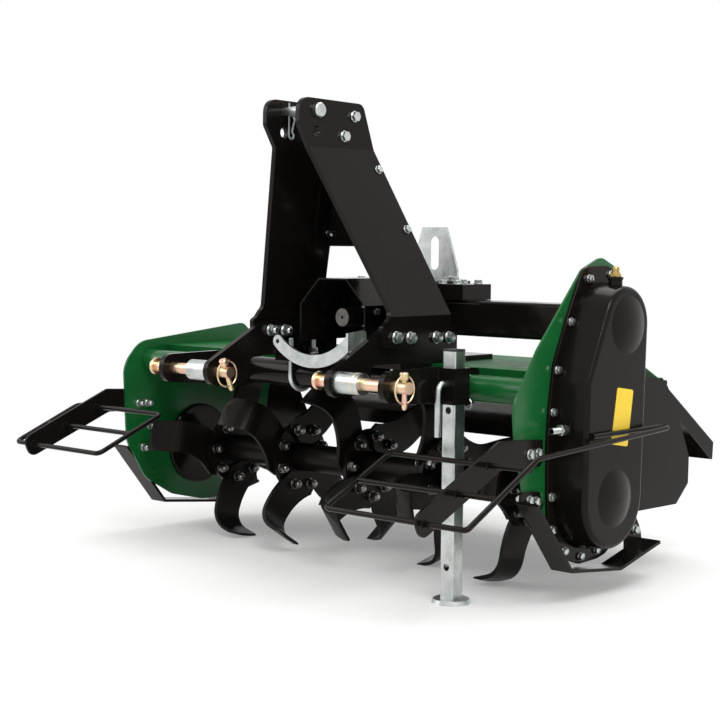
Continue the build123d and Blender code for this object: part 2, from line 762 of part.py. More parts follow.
TENSIONER_UP = -80.0
TENSIONER_PAD = 258.0
NECK_HEIGHT = 18.0
CASE_DRAFT = 7.0
case_grow = CASE_DEPTH * math.tan(math.radians(CASE_DRAFT))
tensioner_x = case_x + 22
neck_x = case_x + 34
with BuildPart() as chain_cover:
    with BuildSketch(Plane.YZ.offset(case_x)):
        add(case_outline(UPPER_CASE_RADIUS, LOWER_CASE_RADIUS, case_grow))
    extrude(amount=CASE_DEPTH, taper=CASE_DRAFT)
    fillet(chain_cover.faces().sort_by(Axis.X)[-1].edges(), CASE_EDGE)
    with BuildSketch(Plane.YZ.offset(case_x)):
        add(case_outline(UPPER_CASE_RADIUS, LOWER_CASE_RADIUS, -CASE_WALL))
    extrude(amount=CASE_DEPTH - CASE_WALL, mode=Mode.SUBTRACT)
    with Locations(place(tensioner_x, TENSIONER_PAD + 8, TENSIONER_UP)):
        Box(26, 16, 26)
    with BuildSketch(Plane.XY.offset(PIN_Z + DRIVE_UP + UPPER_CASE_RADIUS - 6)):
        with Locations((neck_x, PIN_Y + DRIVE_BACK)):
            Circle(13)
    extrude(amount=NECK_HEIGHT + 6)
    dome_sphere = (DOME_RADIUS ** 2 + DOME_HEIGHT ** 2) / (2 * DOME_HEIGHT)
    for back, up in ((DRIVE_BACK, DRIVE_UP), (ROTOR_BACK, ROTOR_UP)):
        with BuildSketch(Plane(origin=place(case_x + CASE_DEPTH, back, up), x_dir=(0, 1, 0), z_dir=(0, 0, 1))):
            with BuildLine():
                Line((0, 0), (DOME_RADIUS, 0))
                ThreePointArc(
                    (DOME_RADIUS, 0),
                    (DOME_RADIUS * 0.5, -(math.sqrt(dome_sphere ** 2 - (DOME_RADIUS * 0.5) ** 2)
                                          - dome_sphere + DOME_HEIGHT)),
                    (0, -DOME_HEIGHT),
                )
                Line((0, -DOME_HEIGHT), (0, 0))
            make_face()
        revolve(axis=Axis(place(case_x + CASE_DEPTH, back, up), (1, 0, 0)), revolution_arc=360)
keep("chain_cover", chain_cover.part)

# Cap and breather on the oil filler neck
neck_top = DRIVE_UP + UPPER_CASE_RADIUS + NECK_HEIGHT
with BuildPart() as filler_cap:
    with BuildSketch(Plane.XY.offset(PIN_Z + neck_top)):
        with Locations((neck_x, PIN_Y + DRIVE_BACK)):
            RegularPolygon(12, 6)
    extrude(amount=6)
    with BuildSketch(Plane.XY.offset(PIN_Z + neck_top + 6)):
        with Locations((neck_x, PIN_Y + DRIVE_BACK)):
            Circle(7)
    extrude(amount=13)
keep("filler_cap", filler_cap.part)

# Chain tensioner bolt in the front of the case
with BuildPart() as chain_tensioner:
    with Locations(Location(place(tensioner_x, TENSIONER_PAD - 21, TENSIONER_UP), (90, 0, 0))):
        Cylinder(5.5, 42)
    with Locations(Location(place(tensioner_x, TENSIONER_PAD - 5, TENSIONER_UP), (90, 0, 0))):
        Cylinder(9, 10)
keep("chain_tensioner", chain_tensioner.part)

# Dished shield round the left end of the rotor
SHIELD_RADIUS = 90.0
SHIELD_DEPTH = 9.0
with BuildPart() as rotor_shield:
    with BuildSketch(Plane.YZ.offset(LEFT_X)):
        with Locations(side(ROTOR_BACK, ROTOR_UP)):
            Circle(SHIELD_RADIUS)
            Circle(JOURNAL_RADIUS + 6, mode=Mode.SUBTRACT)
    extrude(amount=SHIELD_DEPTH)
    chamfer(rotor_shield.faces().sort_by(Axis.X)[-1].edges(), 3)

# Bearing housing on the left side plate
with BuildPart() as bearing_housing:
    with BuildSketch(Plane.YZ.offset(LEFT_X - SIDE_THICKNESS)):
        with Locations(side(ROTOR_BACK, ROTOR_UP)):
            Circle(52)
    extrude(amount=-26)
    fillet(bearing_housing.faces().sort_by(Axis.X)[0].edges(), 8)
    with BuildSketch(Plane.YZ.offset(LEFT_X - SIDE_THICKNESS)):
        with Locations(side(ROTOR_BACK, ROTOR_UP)):
            Circle(JOURNAL_RADIUS + PIVOT_CLEARANCE)
    extrude(amount=-20, mode=Mode.SUBTRACT)
keep("bearing_housing", join(bearing_housing.part, rotor_shield.part))

# Rotor: shaft with five discs and its two journals
rotor_low = LEFT_X + SHIELD_DEPTH + 6
rotor_high = RIGHT_X - 8
disc_places = [rotor_centre + (step - (DISC_COUNT - 1) / 2) * DISC_SPACING for step in range(DISC_COUNT)]
with BuildPart() as rotor_shaft:
    with BuildSketch(Plane.YZ.offset(rotor_low)):
        with Locations(side(ROTOR_BACK, ROTOR_UP)):
            Circle(SHAFT_RADIUS)
    extrude(amount=rotor_high - rotor_low)
    with BuildSketch(Plane.YZ.offset(LEFT_X - SIDE_THICKNESS - 18)):
        with Locations(side(ROTOR_BACK, ROTOR_UP)):
            Circle(JOURNAL_RADIUS)
    extrude(amount=rotor_high - LEFT_X + SIDE_THICKNESS + 18 + 8 + SIDE_THICKNESS + FLANGE_THICKNESS + 12)
    for x in disc_places:
        with BuildSketch(Plane.YZ.offset(x - DISC_THICKNESS / 2)):
            with Locations(side(ROTOR_BACK, ROTOR_UP)):
                Circle(DISC_RADIUS)
        extrude(amount=DISC_THICKNESS)
keep("rotor_shaft", rotor_shaft.part)

# Tines: a strip bolted to a disc, swept back and bent sideways near its end
BEND_STEPS = 6
bend_start = ROTOR_RADIUS - TINE_BEND_RADIUS - TINE_BEND_ROOM
tine_path = [(20.0, 0.0), (bend_start, 0.0)]
for step in range(1, BEND_STEPS + 1):
    turned = math.radians(TINE_BEND_ANGLE * step / BEND_STEPS)
    tine_path.append((bend_start + TINE_BEND_RADIUS * math.sin(turned),
                      TINE_BEND_RADIUS * (1 - math.cos(turned))))
tail = (TINE_REACH - tine_path[-1][1]) / math.tan(math.radians(TINE_BEND_ANGLE))
tine_path.append((tine_path[-1][0] + tail, TINE_REACH))


def around(radius, angle):
    """Point at a radius and an angle in degrees."""
    return (radius * math.cos(math.radians(angle)), radius * math.sin(math.radians(angle)))


def tine(x, angle, turn):
    """One tine on the face of a disc: turn is +1 or -1, the side that it bends to."""
    frame = Plane(origin=place(x, ROTOR_BACK, ROTOR_UP), x_dir=(0, 1, 0), z_dir=(1, 0, 0))
    lead_corner = around(ROTOR_RADIUS, TIP_LEAD)
    trail_corner = around(ROTOR_RADIUS, -TIP_TRAIL)
    with BuildPart() as blade:
        with BuildSketch(Plane.XZ.offset(-ROTOR_RADIUS)):
            with BuildLine():
                Polyline(*[(r, turn * (a + DISC_THICKNESS / 2)) for r, a in band(tine_path, TINE_THICKNESS)],
                         close=True)
            make_face()
        extrude(amount=2 * ROTOR_RADIUS)
        with BuildSketch(Plane.XY.offset(-ROTOR_RADIUS)):
            with BuildLine():
                Polyline((60, 66), (34, 66), (22, 26), (44, -16), (76, -31))
                ThreePointArc((76, -31), (125, -43), trail_corner)
                ThreePointArc(trail_corner, (ROTOR_RADIUS, 0), lead_corner)
                ThreePointArc(lead_corner, (116, 31), (60, 66))
            make_face()
        extrude(amount=2 * ROTOR_RADIUS, mode=Mode.INTERSECT)
    return frame.location * Rot(0, 0, angle - TINE_SWEEP) * blade.part


tines = []
for number, x in enumerate(disc_places):
    for step in range(TINES_PER_DISC):
        root_angle = TINE_PHASE - TINE_STEP * number + step * 360 / TINES_PER_DISC
        turn = -1 if step % 2 == 0 else 1
        tines.append(tine(x, root_angle, turn))
keep("tines", Compound(children=tines))

# Stand: a square socket on the right outer ear and a leg with a foot
with BuildPart() as stand_socket:
    with BuildSketch(Plane.XY.offset(PIN_Z + SOCKET_LOW)):
        with Locations((stand_x, PIN_Y + STAND_BACK)):
            Rectangle(SOCKET_SIZE, SOCKET_SIZE)
            Rectangle(SOCKET_SIZE - 2 * SOCKET_WALL, SOCKET_SIZE - 2 * SOCKET_WALL, mode=Mode.SUBTRACT)
    extrude(amount=SOCKET_HIGH - SOCKET_LOW)
    with Locations(Location(place(stand_x, STAND_BACK, 0), (90, 0, 0))):
        Cylinder(STAND_PIN_RADIUS + SEAT, 2 * SOCKET_SIZE, mode=Mode.SUBTRACT)
keep("stand_socket", stand_socket.part)

foot_up = GROUND_UP + FOOT_HEIGHT
with BuildPart() as stand_leg:
    with BuildSketch(Plane.XY.offset(PIN_Z + foot_up)):
        with Locations((stand_x, PIN_Y + STAND_BACK)):
            RectangleRounded(STAND_SIZE, STAND_SIZE, 3)
            RectangleRounded(STAND_SIZE - 2 * STAND_WALL, STAND_SIZE - 2 * STAND_WALL, 1, mode=Mode.SUBTRACT)
    extrude(amount=STAND_TOP_UP - foot_up - 3)
    for up in (0, -STAND_HOLE_PITCH, -STAND_TRAVEL):
        with Locations(Location(place(stand_x, STAND_BACK, up), (90, 0, 0))):
            Cylinder(STAND_HOLE_RADIUS, 2 * STAND_SIZE, mode=Mode.SUBTRACT)
keep("stand_leg", stand_leg.part)

with BuildPart() as stand_cap:
    with BuildSketch(Plane.XY.offset(PIN_Z + STAND_TOP_UP - 3)):
        with Locations((stand_x, PIN_Y + STAND_BACK)):
            RectangleRounded(STAND_SIZE, STAND_SIZE, 3)
    extrude(amount=4)
keep("stand_cap", stand_cap.part)

with BuildPart() as stand_foot:
    with BuildSketch(Plane.XY.offset(PIN_Z + GROUND_UP)):
        with Locations((stand_x, PIN_Y + STAND_BACK)):
            Circle(FOOT_RADIUS)
    extrude(amount=FOOT_HEIGHT, taper=20)
keep("stand_foot", stand_foot.part)

# Locking pin of the stand, with its bent handle and its clip
PIN_REACH = 16.0
HANDLE_DROP = 95.0
HANDLE_BEND = 14.0
CLIP_LENGTH = 62.0
CLIP_WIRE = 1.6
socket_front = STAND_BACK - SOCKET_SIZE / 2
socket_rear = STAND_BACK + SOCKET_SIZE / 2
handle_back = socket_front - HANDLE_BEND - 10
with BuildPart() as stand_pin:
    with BuildLine() as handle_path:
        FilletPolyline(
            place(stand_x, socket_rear + PIN_REACH, 0),
            place(stand_x, handle_back, 0),
            place(stand_x, handle_back, -HANDLE_DROP),
            radius=HANDLE_BEND,
        )
    with BuildSketch(Plane(origin=place(stand_x, socket_rear + PIN_REACH, 0), z_dir=(0, -1, 0))):
        Circle(STAND_PIN_RADIUS)
    sweep(path=handle_path.wire())
    with Locations(place(stand_x, socket_rear + PIN_REACH - 6, 0)):
        Cylinder(CLIP_WIRE + PIN_CLEARANCE, 4 * STAND_PIN_RADIUS, mode=Mode.SUBTRACT)
keep("stand_pin", stand_pin.part)

keep("stand_clip", rod(place(stand_x, socket_rear + PIN_REACH - 6, 12),
                       place(stand_x, socket_rear + PIN_REACH - 6, 12 - CLIP_LENGTH), CLIP_WIRE))

# Guards: an arm plate on each side plate carries a ladder of round bar
ARM_END = (-114.0, -190.0)
ARM_RADIUS = 22.0
ARM_KNEE = (92.0, -96.0)
LADDER_OUT = 56.0
LADDER_IN = 229.0
CASE_BAR_GAP = 25.0
LADDER_BEND = 14.0
arm_outline = (
    (222, -94, 4),
    (222, -134, 4),
    (205, -138, 10),
    (96, -134, 20),
    (ARM_END[0] + 12, ARM_END[1] - 27, 20),
    (ARM_END[0] - 34, ARM_END[1] + 4, 20),
    (90, -80, 20),
)


def on_arm(share):
    """Point on the middle line of an arm, from its knee (0) to its end (1)."""
    return tuple(ARM_KNEE[i] + share * (ARM_END[i] - ARM_KNEE[i]) for i in range(2))


ladder_shares = (0.46, 0.73, 1.0)
arm_bores = [(*on_arm(share), GUARD_BAR + SEAT) for share in ladder_shares]
arm_left_x = LEFT_X - SIDE_THICKNESS - GUARD_ARM_THICKNESS
arm_right_x = RIGHT_X + SIDE_THICKNESS
keep("guard_arms", join(plate(arm_outline, arm_left_x, arm_left_x + GUARD_ARM_THICKNESS, arm_bores),
                        plate(arm_outline, arm_right_x, arm_right_x + GUARD_ARM_THICKNESS, arm_bores)))


def bar(points, bend):
    """Round bar along a path with rounded corners."""
    with BuildPart() as piece:
        with BuildLine() as path:
            FilletPolyline(*points, radius=bend)
        with BuildSketch(Plane(origin=points[0], z_dir=Vector(*points[1]) - Vector(*points[0]))):
            Circle(GUARD_BAR)
        sweep(path=path.wire())
    return piece.part


ladder_low = arm_left_x - LADDER_OUT
ladder_high = arm_left_x + LADDER_IN
rear_rung, middle_rung, front_rung = [on_arm(share) for share in ladder_shares]
with BuildPart() as guard_bars_left:
    for end in (ladder_low, ladder_high):
        add(bar([place(arm_left_x, *rear_rung), place(end, *rear_rung), place(end, *front_rung),
                 place(arm_left_x, *front_rung)], LADDER_BEND))
    add(rod(place(ladder_low, *middle_rung), place(ladder_high, *middle_rung), GUARD_BAR))
keep("guard_bars_left", guard_bars_left.part)

outer_bar = case_x + CASE_DEPTH + CASE_BAR_GAP
inner_bar = case_x + CASE_DEPTH + GUARD_BAR + SEAT
ladder_low = arm_right_x - LADDER_IN
with BuildPart() as guard_bars_right:
    add(bar([place(outer_bar, *rear_rung), place(ladder_low, *rear_rung), place(ladder_low, *front_rung),
             place(arm_right_x, *front_rung)], LADDER_BEND))
    add(bar([place(arm_right_x, *front_rung), place(outer_bar, *front_rung), place(outer_bar, 106, -98),
             place(outer_bar, 510, -88), place(inner_bar, 510, -88), place(inner_bar, 276, -88)], 9))
    add(rod(place(ladder_low, *middle_rung), place(outer_bar, *middle_rung), GUARD_BAR))
keep("guard_bars_right", guard_bars_right.part)

# Skids: bent straps under the side plates
skid_path = [(152, -206), (262, -340), (424, -358), (560, -325)]
front_lug = ((160, -186, 8), (214, -190, 8), (226, -216, 8), (196, -262, 8), (160, -214, 4))
rear_lug = ((498, -269, 6), (530, -269, 8), (549, -298, 10), (556, -326, 3), (500, -338, 3))


def skid(inner_x, outwards):
    """Bent strap with its two lugs on the outside of a side plate; outwards is +1 or -1."""
    low_x = min(inner_x, inner_x + outwards * SKID_WIDTH)
    lug_x = min(inner_x, inner_x + outwards * SKID_THICKNESS)
    with BuildPart() as strap:
        with BuildSketch(Plane.YZ.offset(low_x)):
            with BuildLine():
                Polyline(*band([side(*point) for point in skid_path], SKID_THICKNESS), close=True)
            make_face()
        extrude(amount=SKID_WIDTH)
        add(plate(front_lug, lug_x, lug_x + SKID_THICKNESS))
        add(plate(rear_lug, lug_x, lug_x + SKID_THICKNESS))
    return strap.part


keep("skids", join(skid(LEFT_X - SIDE_THICKNESS, -1), skid(flange_x, 1)))

os.makedirs("parts", exist_ok=True)
for name, piece in pieces.items():
    export_step(piece, "parts/" + name + ".step")
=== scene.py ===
import json
import math

import bpy
from mathutils import Matrix, Vector


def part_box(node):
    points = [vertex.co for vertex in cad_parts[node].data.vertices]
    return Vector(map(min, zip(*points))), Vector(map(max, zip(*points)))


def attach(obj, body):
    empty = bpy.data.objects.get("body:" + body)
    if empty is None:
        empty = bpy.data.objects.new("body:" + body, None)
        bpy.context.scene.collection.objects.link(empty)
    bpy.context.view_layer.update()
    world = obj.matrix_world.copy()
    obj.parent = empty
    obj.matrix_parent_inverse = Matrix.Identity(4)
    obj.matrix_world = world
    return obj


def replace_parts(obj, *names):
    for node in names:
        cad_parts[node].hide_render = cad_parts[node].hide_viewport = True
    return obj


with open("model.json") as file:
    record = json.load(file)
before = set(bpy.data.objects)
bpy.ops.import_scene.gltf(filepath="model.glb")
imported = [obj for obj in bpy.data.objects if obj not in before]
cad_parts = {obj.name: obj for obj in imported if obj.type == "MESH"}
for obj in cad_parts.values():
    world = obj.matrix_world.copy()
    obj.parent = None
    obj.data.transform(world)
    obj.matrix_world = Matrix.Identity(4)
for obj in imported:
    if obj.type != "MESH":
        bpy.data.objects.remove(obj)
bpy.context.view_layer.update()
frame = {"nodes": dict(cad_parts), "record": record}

# Places on the machine are (x, back, up) in millimetres from the middle between the lower
# hitch pins: x grows towards the chain case, back grows away from the tractor. Blender works
# in metres in the row frame, which has its origin at the end of the input stub.

mounts = {mount["name"]: mount["pos_m"] for mount in frame["record"]["mounts"]}
joints = {joint["name"]: joint for joint in frame["record"]["behaviour"]["joints"]}
PIN_Y, PIN_Z = mounts["lower_hitch_right"][1:]

RIGHT = Vector((1, 0, 0))
REAR = Vector((0, 1, 0))
UP = Vector((0, 0, 1))


def place(x, back, up):
    """Point of the row frame, in metres, from a place on the machine."""
    return Vector((x / 1000, PIN_Y + back / 1000, PIN_Z + up / 1000))


def measured(point):
    """Place on the machine, to a hundredth, from a point of the row frame."""
    x, y, z = point
    return [round(1000 * value, 2) for value in (x, y - PIN_Y, z - PIN_Z)]


def limits(node):
    """Lowest and highest place of a node at rest."""
    return [measured(corner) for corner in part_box(node)]


def centre(node):
    """Middle of a node's box at rest."""
    return [(low + high) / 2 for low, high in zip(*limits(node))]


# Faces and axes that the small pieces sit on. MAST_OUT is the mast's outer face at its foot
# and TOP_OUT the one at its top. The cradle fills the gap between the headstock plates, and
# the spacers fill the one between the mast plates.
MAST_PLATE = 10.0
SIDE_PLATE = 5.0
CASE_DEPTH = 64.0
MAST_OUT = limits("mast_plates")[1][0]
TOP_OUT = limits("mast_spacers")[1][0] + MAST_PLATE
HEADSTOCK_IN, _, CRADLE_TOP = limits("gearbox_cradle")[1]
LEFT_OUT = limits("side_plate_left")[0][0]
LEFT_IN = LEFT_OUT + SIDE_PLATE
RIGHT_OUT = limits("side_plate_right")[1][0]
RIGHT_IN = RIGHT_OUT - SIDE_PLATE
FLANGE_OUT = limits("chain_flange")[1][0]
CASE_OUT = FLANGE_OUT + CASE_DEPTH
BEARING_OUT = limits("bearing_housing")[0][0]
TOP_PLATE_TOP = limits("gearbox_top_plate")[1][2]
BEAM_SADDLE_TOP = limits("beam_saddle")[1][2]
TUBE_SADDLE_TOP = limits("tube_saddle")[1][2]
GEARBOX_FRONT = limits("gearbox")[0][1]
SHIELD_OUT = limits("pto_shield")[1][0]
TUBE_BACK = centre("cross_tube")[1]
DRIVE_UP = centre("drive_beam")[2]
_, ROTOR_BACK, ROTOR_UP = measured(joints["rotor_spin"]["pos_m"])
_, TOP_PIN_BACK, TOP_PIN_UP = measured(mounts["top_link"])


# Materials

def node_tree(name):
    """New material with its nodes, its links and its Principled shader."""
    material = bpy.data.materials.new(name)
    material.use_nodes = True
    tree = material.node_tree
    return material, tree.nodes, tree.links, tree.nodes["Principled BSDF"]


def noise(nodes, links, scale, detail=4.0, roughness=0.6, stretch=None):
    """Noise over object coordinates; stretch is a scale for each axis."""
    coords = nodes.new("ShaderNodeTexCoord")
    texture = nodes.new("ShaderNodeTexNoise")
    texture.inputs["Scale"].default_value = scale
    texture.inputs["Detail"].default_value = detail
    texture.inputs["Roughness"].default_value = roughness
    if stretch is None:
        links.new(coords.outputs["Object"], texture.inputs["Vector"])
    else:
        mapping = nodes.new("ShaderNodeMapping")
        mapping.inputs["Scale"].default_value = stretch
        links.new(coords.outputs["Object"], mapping.inputs["Vector"])
        links.new(mapping.outputs["Vector"], texture.inputs["Vector"])
    return texture.outputs["Fac"]


def ramp(nodes, links, source, stops):
    """Colour ramp over a value; stops are (position, colour)."""
    band = nodes.new("ShaderNodeValToRGB")
    elements = band.color_ramp.elements
    while len(elements) < len(stops):
        elements.new(0.5)
    for element, (position, colour) in zip(elements, stops):
        element.position = position
        element.color = (*colour, 1)
    links.new(source, band.inputs["Fac"])
    return band.outputs["Color"]


def spread(nodes, links, source, low, high, start=0.3, end=0.7):
    """Value from low to high as the source goes from start to end."""
    span = nodes.new("ShaderNodeMapRange")
    span.inputs["From Min"].default_value = start
    span.inputs["From Max"].default_value = end
    span.inputs["To Min"].default_value = low
    span.inputs["To Max"].default_value = high
    links.new(source, span.inputs["Value"])
    return span.outputs["Result"]


def bump(nodes, links, shader, height, strength, distance):
    """Bump on the shader from a height."""
    relief = nodes.new("ShaderNodeBump")
    relief.inputs["Strength"].default_value = strength
    relief.inputs["Distance"].default_value = distance
    links.new(height, relief.inputs["Height"])
    links.new(relief.outputs["Normal"], shader.inputs["Normal"])


# Noise scales are in patches per metre, depths in metres, and spans are the difference
# between the glossiest and the roughest patches
CLOUDS = 9.0
SHADED = 0.88
DUST_GREY = 0.3
SMEARS = 34.0
SMEAR_STRETCH = (1.0, 0.4, 1.0)
SMEAR_SPAN = 0.14
ORANGE_PEEL = 300.0
PEEL_DEPTH = 0.0002
STREAKS = 60.0
STREAK_STRETCH = (1.0, 1.0, 0.25)
STREAK_SPAN = 0.18
GRAIN = 260.0
GRAIN_STRENGTH = 0.12
GRAIN_DEPTH = 0.0003


def paint(name, colour, dust, rough, peel, shine, tint):
    """Gloss coat on steel: slight shade changes, a film of dust and orange peel."""
    material, nodes, links, shader = node_tree(name)
    shades = ramp(nodes, links, noise(nodes, links, CLOUDS), (
        (0.3, [SHADED * part for part in colour]),
        (0.62, colour),
        (0.8, [(1 - dust) * part + dust * DUST_GREY for part in colour]),
    ))
    links.new(shades, shader.inputs["Base Color"])
    smears = noise(nodes, links, SMEARS, 6.0, 0.7, SMEAR_STRETCH)
    gloss = spread(nodes, links, smears, rough, rough + SMEAR_SPAN)
    links.new(gloss, shader.inputs["Roughness"])
    shader.inputs["Specular IOR Level"].default_value = shine
    shader.inputs["Specular Tint"].default_value = (*tint, 1)
    bump(nodes, links, shader, noise(nodes, links, ORANGE_PEEL, 2.0), peel, PEEL_DEPTH)
    return material


def plated(name, rough, spangle, stops):
    """Plated or bare steel: a metal whose tint and gloss change over small patches."""
    material, nodes, links, shader = node_tree(name)
    shader.inputs["Metallic"].default_value = 1.0
    patches = noise(nodes, links, spangle, 5.0, 0.65)
    links.new(ramp(nodes, links, patches, stops), shader.inputs["Base Color"])
    streaks = noise(nodes, links, STREAKS, 5.0, 0.6, STREAK_STRETCH)
    gloss = spread(nodes, links, streaks, rough, rough + STREAK_SPAN)
    links.new(gloss, shader.inputs["Roughness"])
    bump(nodes, links, shader, noise(nodes, links, GRAIN, 3.0), GRAIN_STRENGTH, GRAIN_DEPTH)
    return material


GREEN = (0.006, 0.098, 0.022)
BLACK = (0.0062, 0.0052, 0.0045)
PLASTIC = (0.014, 0.014, 0.014)
YELLOW = (0.86, 0.6, 0.02)
NEUTRAL = (1, 1, 1)
WARM = (1.0, 0.87, 0.78)

# Rows are (name, colour, dust, roughness, orange peel, specular level, specular tint)
COATS = (
    ("green_paint", GREEN, 0.02, 0.15, 0.04, 0.32, NEUTRAL),
    ("deck_green", GREEN, 0.02, 0.34, 0.04, 0.06, NEUTRAL),
    ("black_coat", BLACK, 0.006, 0.09, 0.03, 0.14, WARM),
    ("tine_black", BLACK, 0.008, 0.26, 0.12, 0.13, WARM),
    ("black_plastic", PLASTIC, 0.03, 0.45, 0.3, 0.5, NEUTRAL),
    ("label", YELLOW, 0.04, 0.35, 0.05, 0.5, NEUTRAL),
)

# Rows are (name, roughness, patches per metre, stops of the tint)
METALS = (
    ("zinc", 0.24, 30.0, (
        (0.3, (0.4, 0.43, 0.42)), (0.55, (0.57, 0.6, 0.585)), (0.8, (0.7, 0.71, 0.68)))),
    ("yellow_zinc", 0.22, 34.0, (
        (0.36, (0.8, 0.5, 0.4)), (0.52, (0.78, 0.58, 0.36)), (0.68, (0.62, 0.6, 0.3)))),
    ("dark_steel", 0.34, 60.0, (
        (0.3, (0.09, 0.085, 0.08)), (0.7, (0.17, 0.16, 0.15)))),
    # The tine bolts are dark steel; their pale patches are painted glints that stand in for
    # highlights on the dark bolts
    ("tine_bolt", 0.2, 120.0, (
        (0.35, (0.1, 0.097, 0.09)), (0.55, (0.26, 0.25, 0.24)), (0.75, (0.55, 0.54, 0.51)))),
    ("brass", 0.3, 70.0, (
        (0.3, (0.36, 0.24, 0.08)), (0.7, (0.62, 0.45, 0.17)))),
)

materials = {row[0]: paint(*row) for row in COATS}
materials.update({row[0]: plated(*row) for row in METALS})

# Each node takes its slot's material, except the hinge rod and the duller deck
material_of = {entry["node"]: entry["material_slot"] for entry in frame["record"]["subparts"]}
material_of["hinge_rod"] = "black_coat"
material_of["hood_deck"] = "deck_green"
for name, node in frame["nodes"].items():
    node.data.materials.clear()
    node.data.materials.append(materials[material_of[name]])

# The facets of the tines' bend blend into one round face, and their edges stay sharp
tines = frame["nodes"]["tines"]
tines.modifiers.new("joined", "WELD").merge_threshold = 0.00001
tines.modifiers.new("sharp", "EDGE_SPLIT").split_angle = math.radians(30)
tines.modifiers.new("even", "WEIGHTED_NORMAL")


# Curves. Points are in metres, sizes and outlines in millimetres.

def turns(count):
    """Angles of a full turn in equal steps, in radians."""
    return [2 * math.pi * step / count for step in range(count)]


def circle(middle, side, other, radius, count):
    """Points of a circle spanned by two unit vectors."""
    return [middle + (side * math.cos(turn) + other * math.sin(turn)) * radius / 1000
            for turn in turns(count)]


def ring(at, out, rows):
    """Points round an axis at equal angles, one for each row of (radius, height)."""
    along = Vector(out).normalized()
    side = UP if abs(along.z) < 0.9 else REAR
    side = (side - along * side.dot(along)).normalized()
    other = along.cross(side)
    return [at + (side * math.cos(turn) + other * math.sin(turn)) * radius / 1000
            + along * height / 1000 for turn, (radius, height) in zip(turns(len(rows)), rows)]


def headings(path, closed):
    """Direction of a path at each of its points."""
    last = len(path) - 1
    found = []
    for i in range(len(path)):
        before = path[i - 1] if i or closed else path[0]
        after = path[(i + 1) % len(path)] if i < last or closed else path[last]
        found.append((after - before).normalized())
    return found


def line(start, end, step=2.2):
    """Points from one place to another, a step apart."""
    first = Vector(start)
    last = Vector(end)
    count = max(2, int((last - first).length / step))
    return [place(*first.lerp(last, k / count)) for k in range(count + 1)]


def neighbours(outline):
    """Each corner of a closed outline as (before, here, after)."""
    count = len(outline)
    return [(outline[i - 1], outline[i], outline[(i + 1) % count]) for i in range(count)]


def eased(before, here, after, reach, steps):
    """Points of a corner on a curve that starts and ends at a reach from it."""
    back = (before - here).normalized()
    onward = (after - here).normalized()
    return [here + back * reach * (1 - t) ** 2 + onward * reach * t ** 2
            for t in (step / steps for step in range(steps + 1))]


def reach_of(before, here, after, radius):
    """Distance from a corner to the start of its rounding, under half of either side."""
    back = before - here
    onward = after - here
    return min(radius / math.tan(back.angle(onward) / 2), 0.48 * back.length, 0.48 * onward.length)


def rounded(rows, steps=6):
    """Closed outline from rows of (back, up, corner radius)."""
    points = []
    for corners in neighbours(rows):
        before, here, after = (Vector(corner[:2]) for corner in corners)
        reach = reach_of(before, here, after, corners[1][2])
        points.extend(eased(before, here, after, reach, steps))
    return points


def bent(places, radius, steps=8):
    """Path through places with its corners rounded."""
    corners = [Vector(spot) for spot in places]
    points = [corners[0]]
    for before, here, after in zip(corners, corners[1:], corners[2:]):
        points.extend(eased(before, here, after, reach_of(before, here, after, radius), steps))
    points.append(corners[-1])
    return [place(*point) for point in points]


# Shares of a bolt's width across its flats
WASHER_RADIUS = 0.63
WASHER_HEIGHT = 0.13
HEAD_TOP = 0.55
NUT_TOP = 0.72
THREAD_RADIUS = 1 / 3
CROWN = 0.48

# A head's corners are cut back by these shares of what they stand out from its crown
LOWER_CHAMFER = 0.5
UPPER_CHAMFER = 0.58

# Rows of a thread's profile are (share of its radius, share of its pitch)
THREAD_PITCH = 1.5
THREAD_TURN = ((1, 0.45), (0.87, 0.95))
THREAD_START = 0.86
THREAD_END = 0.8

BROKEN_EDGE = 0.4
BEAD_DIP = 0.8
WASHER_POINTS = 32
HEX_POINTS = 24
BEAD_POINTS = 8


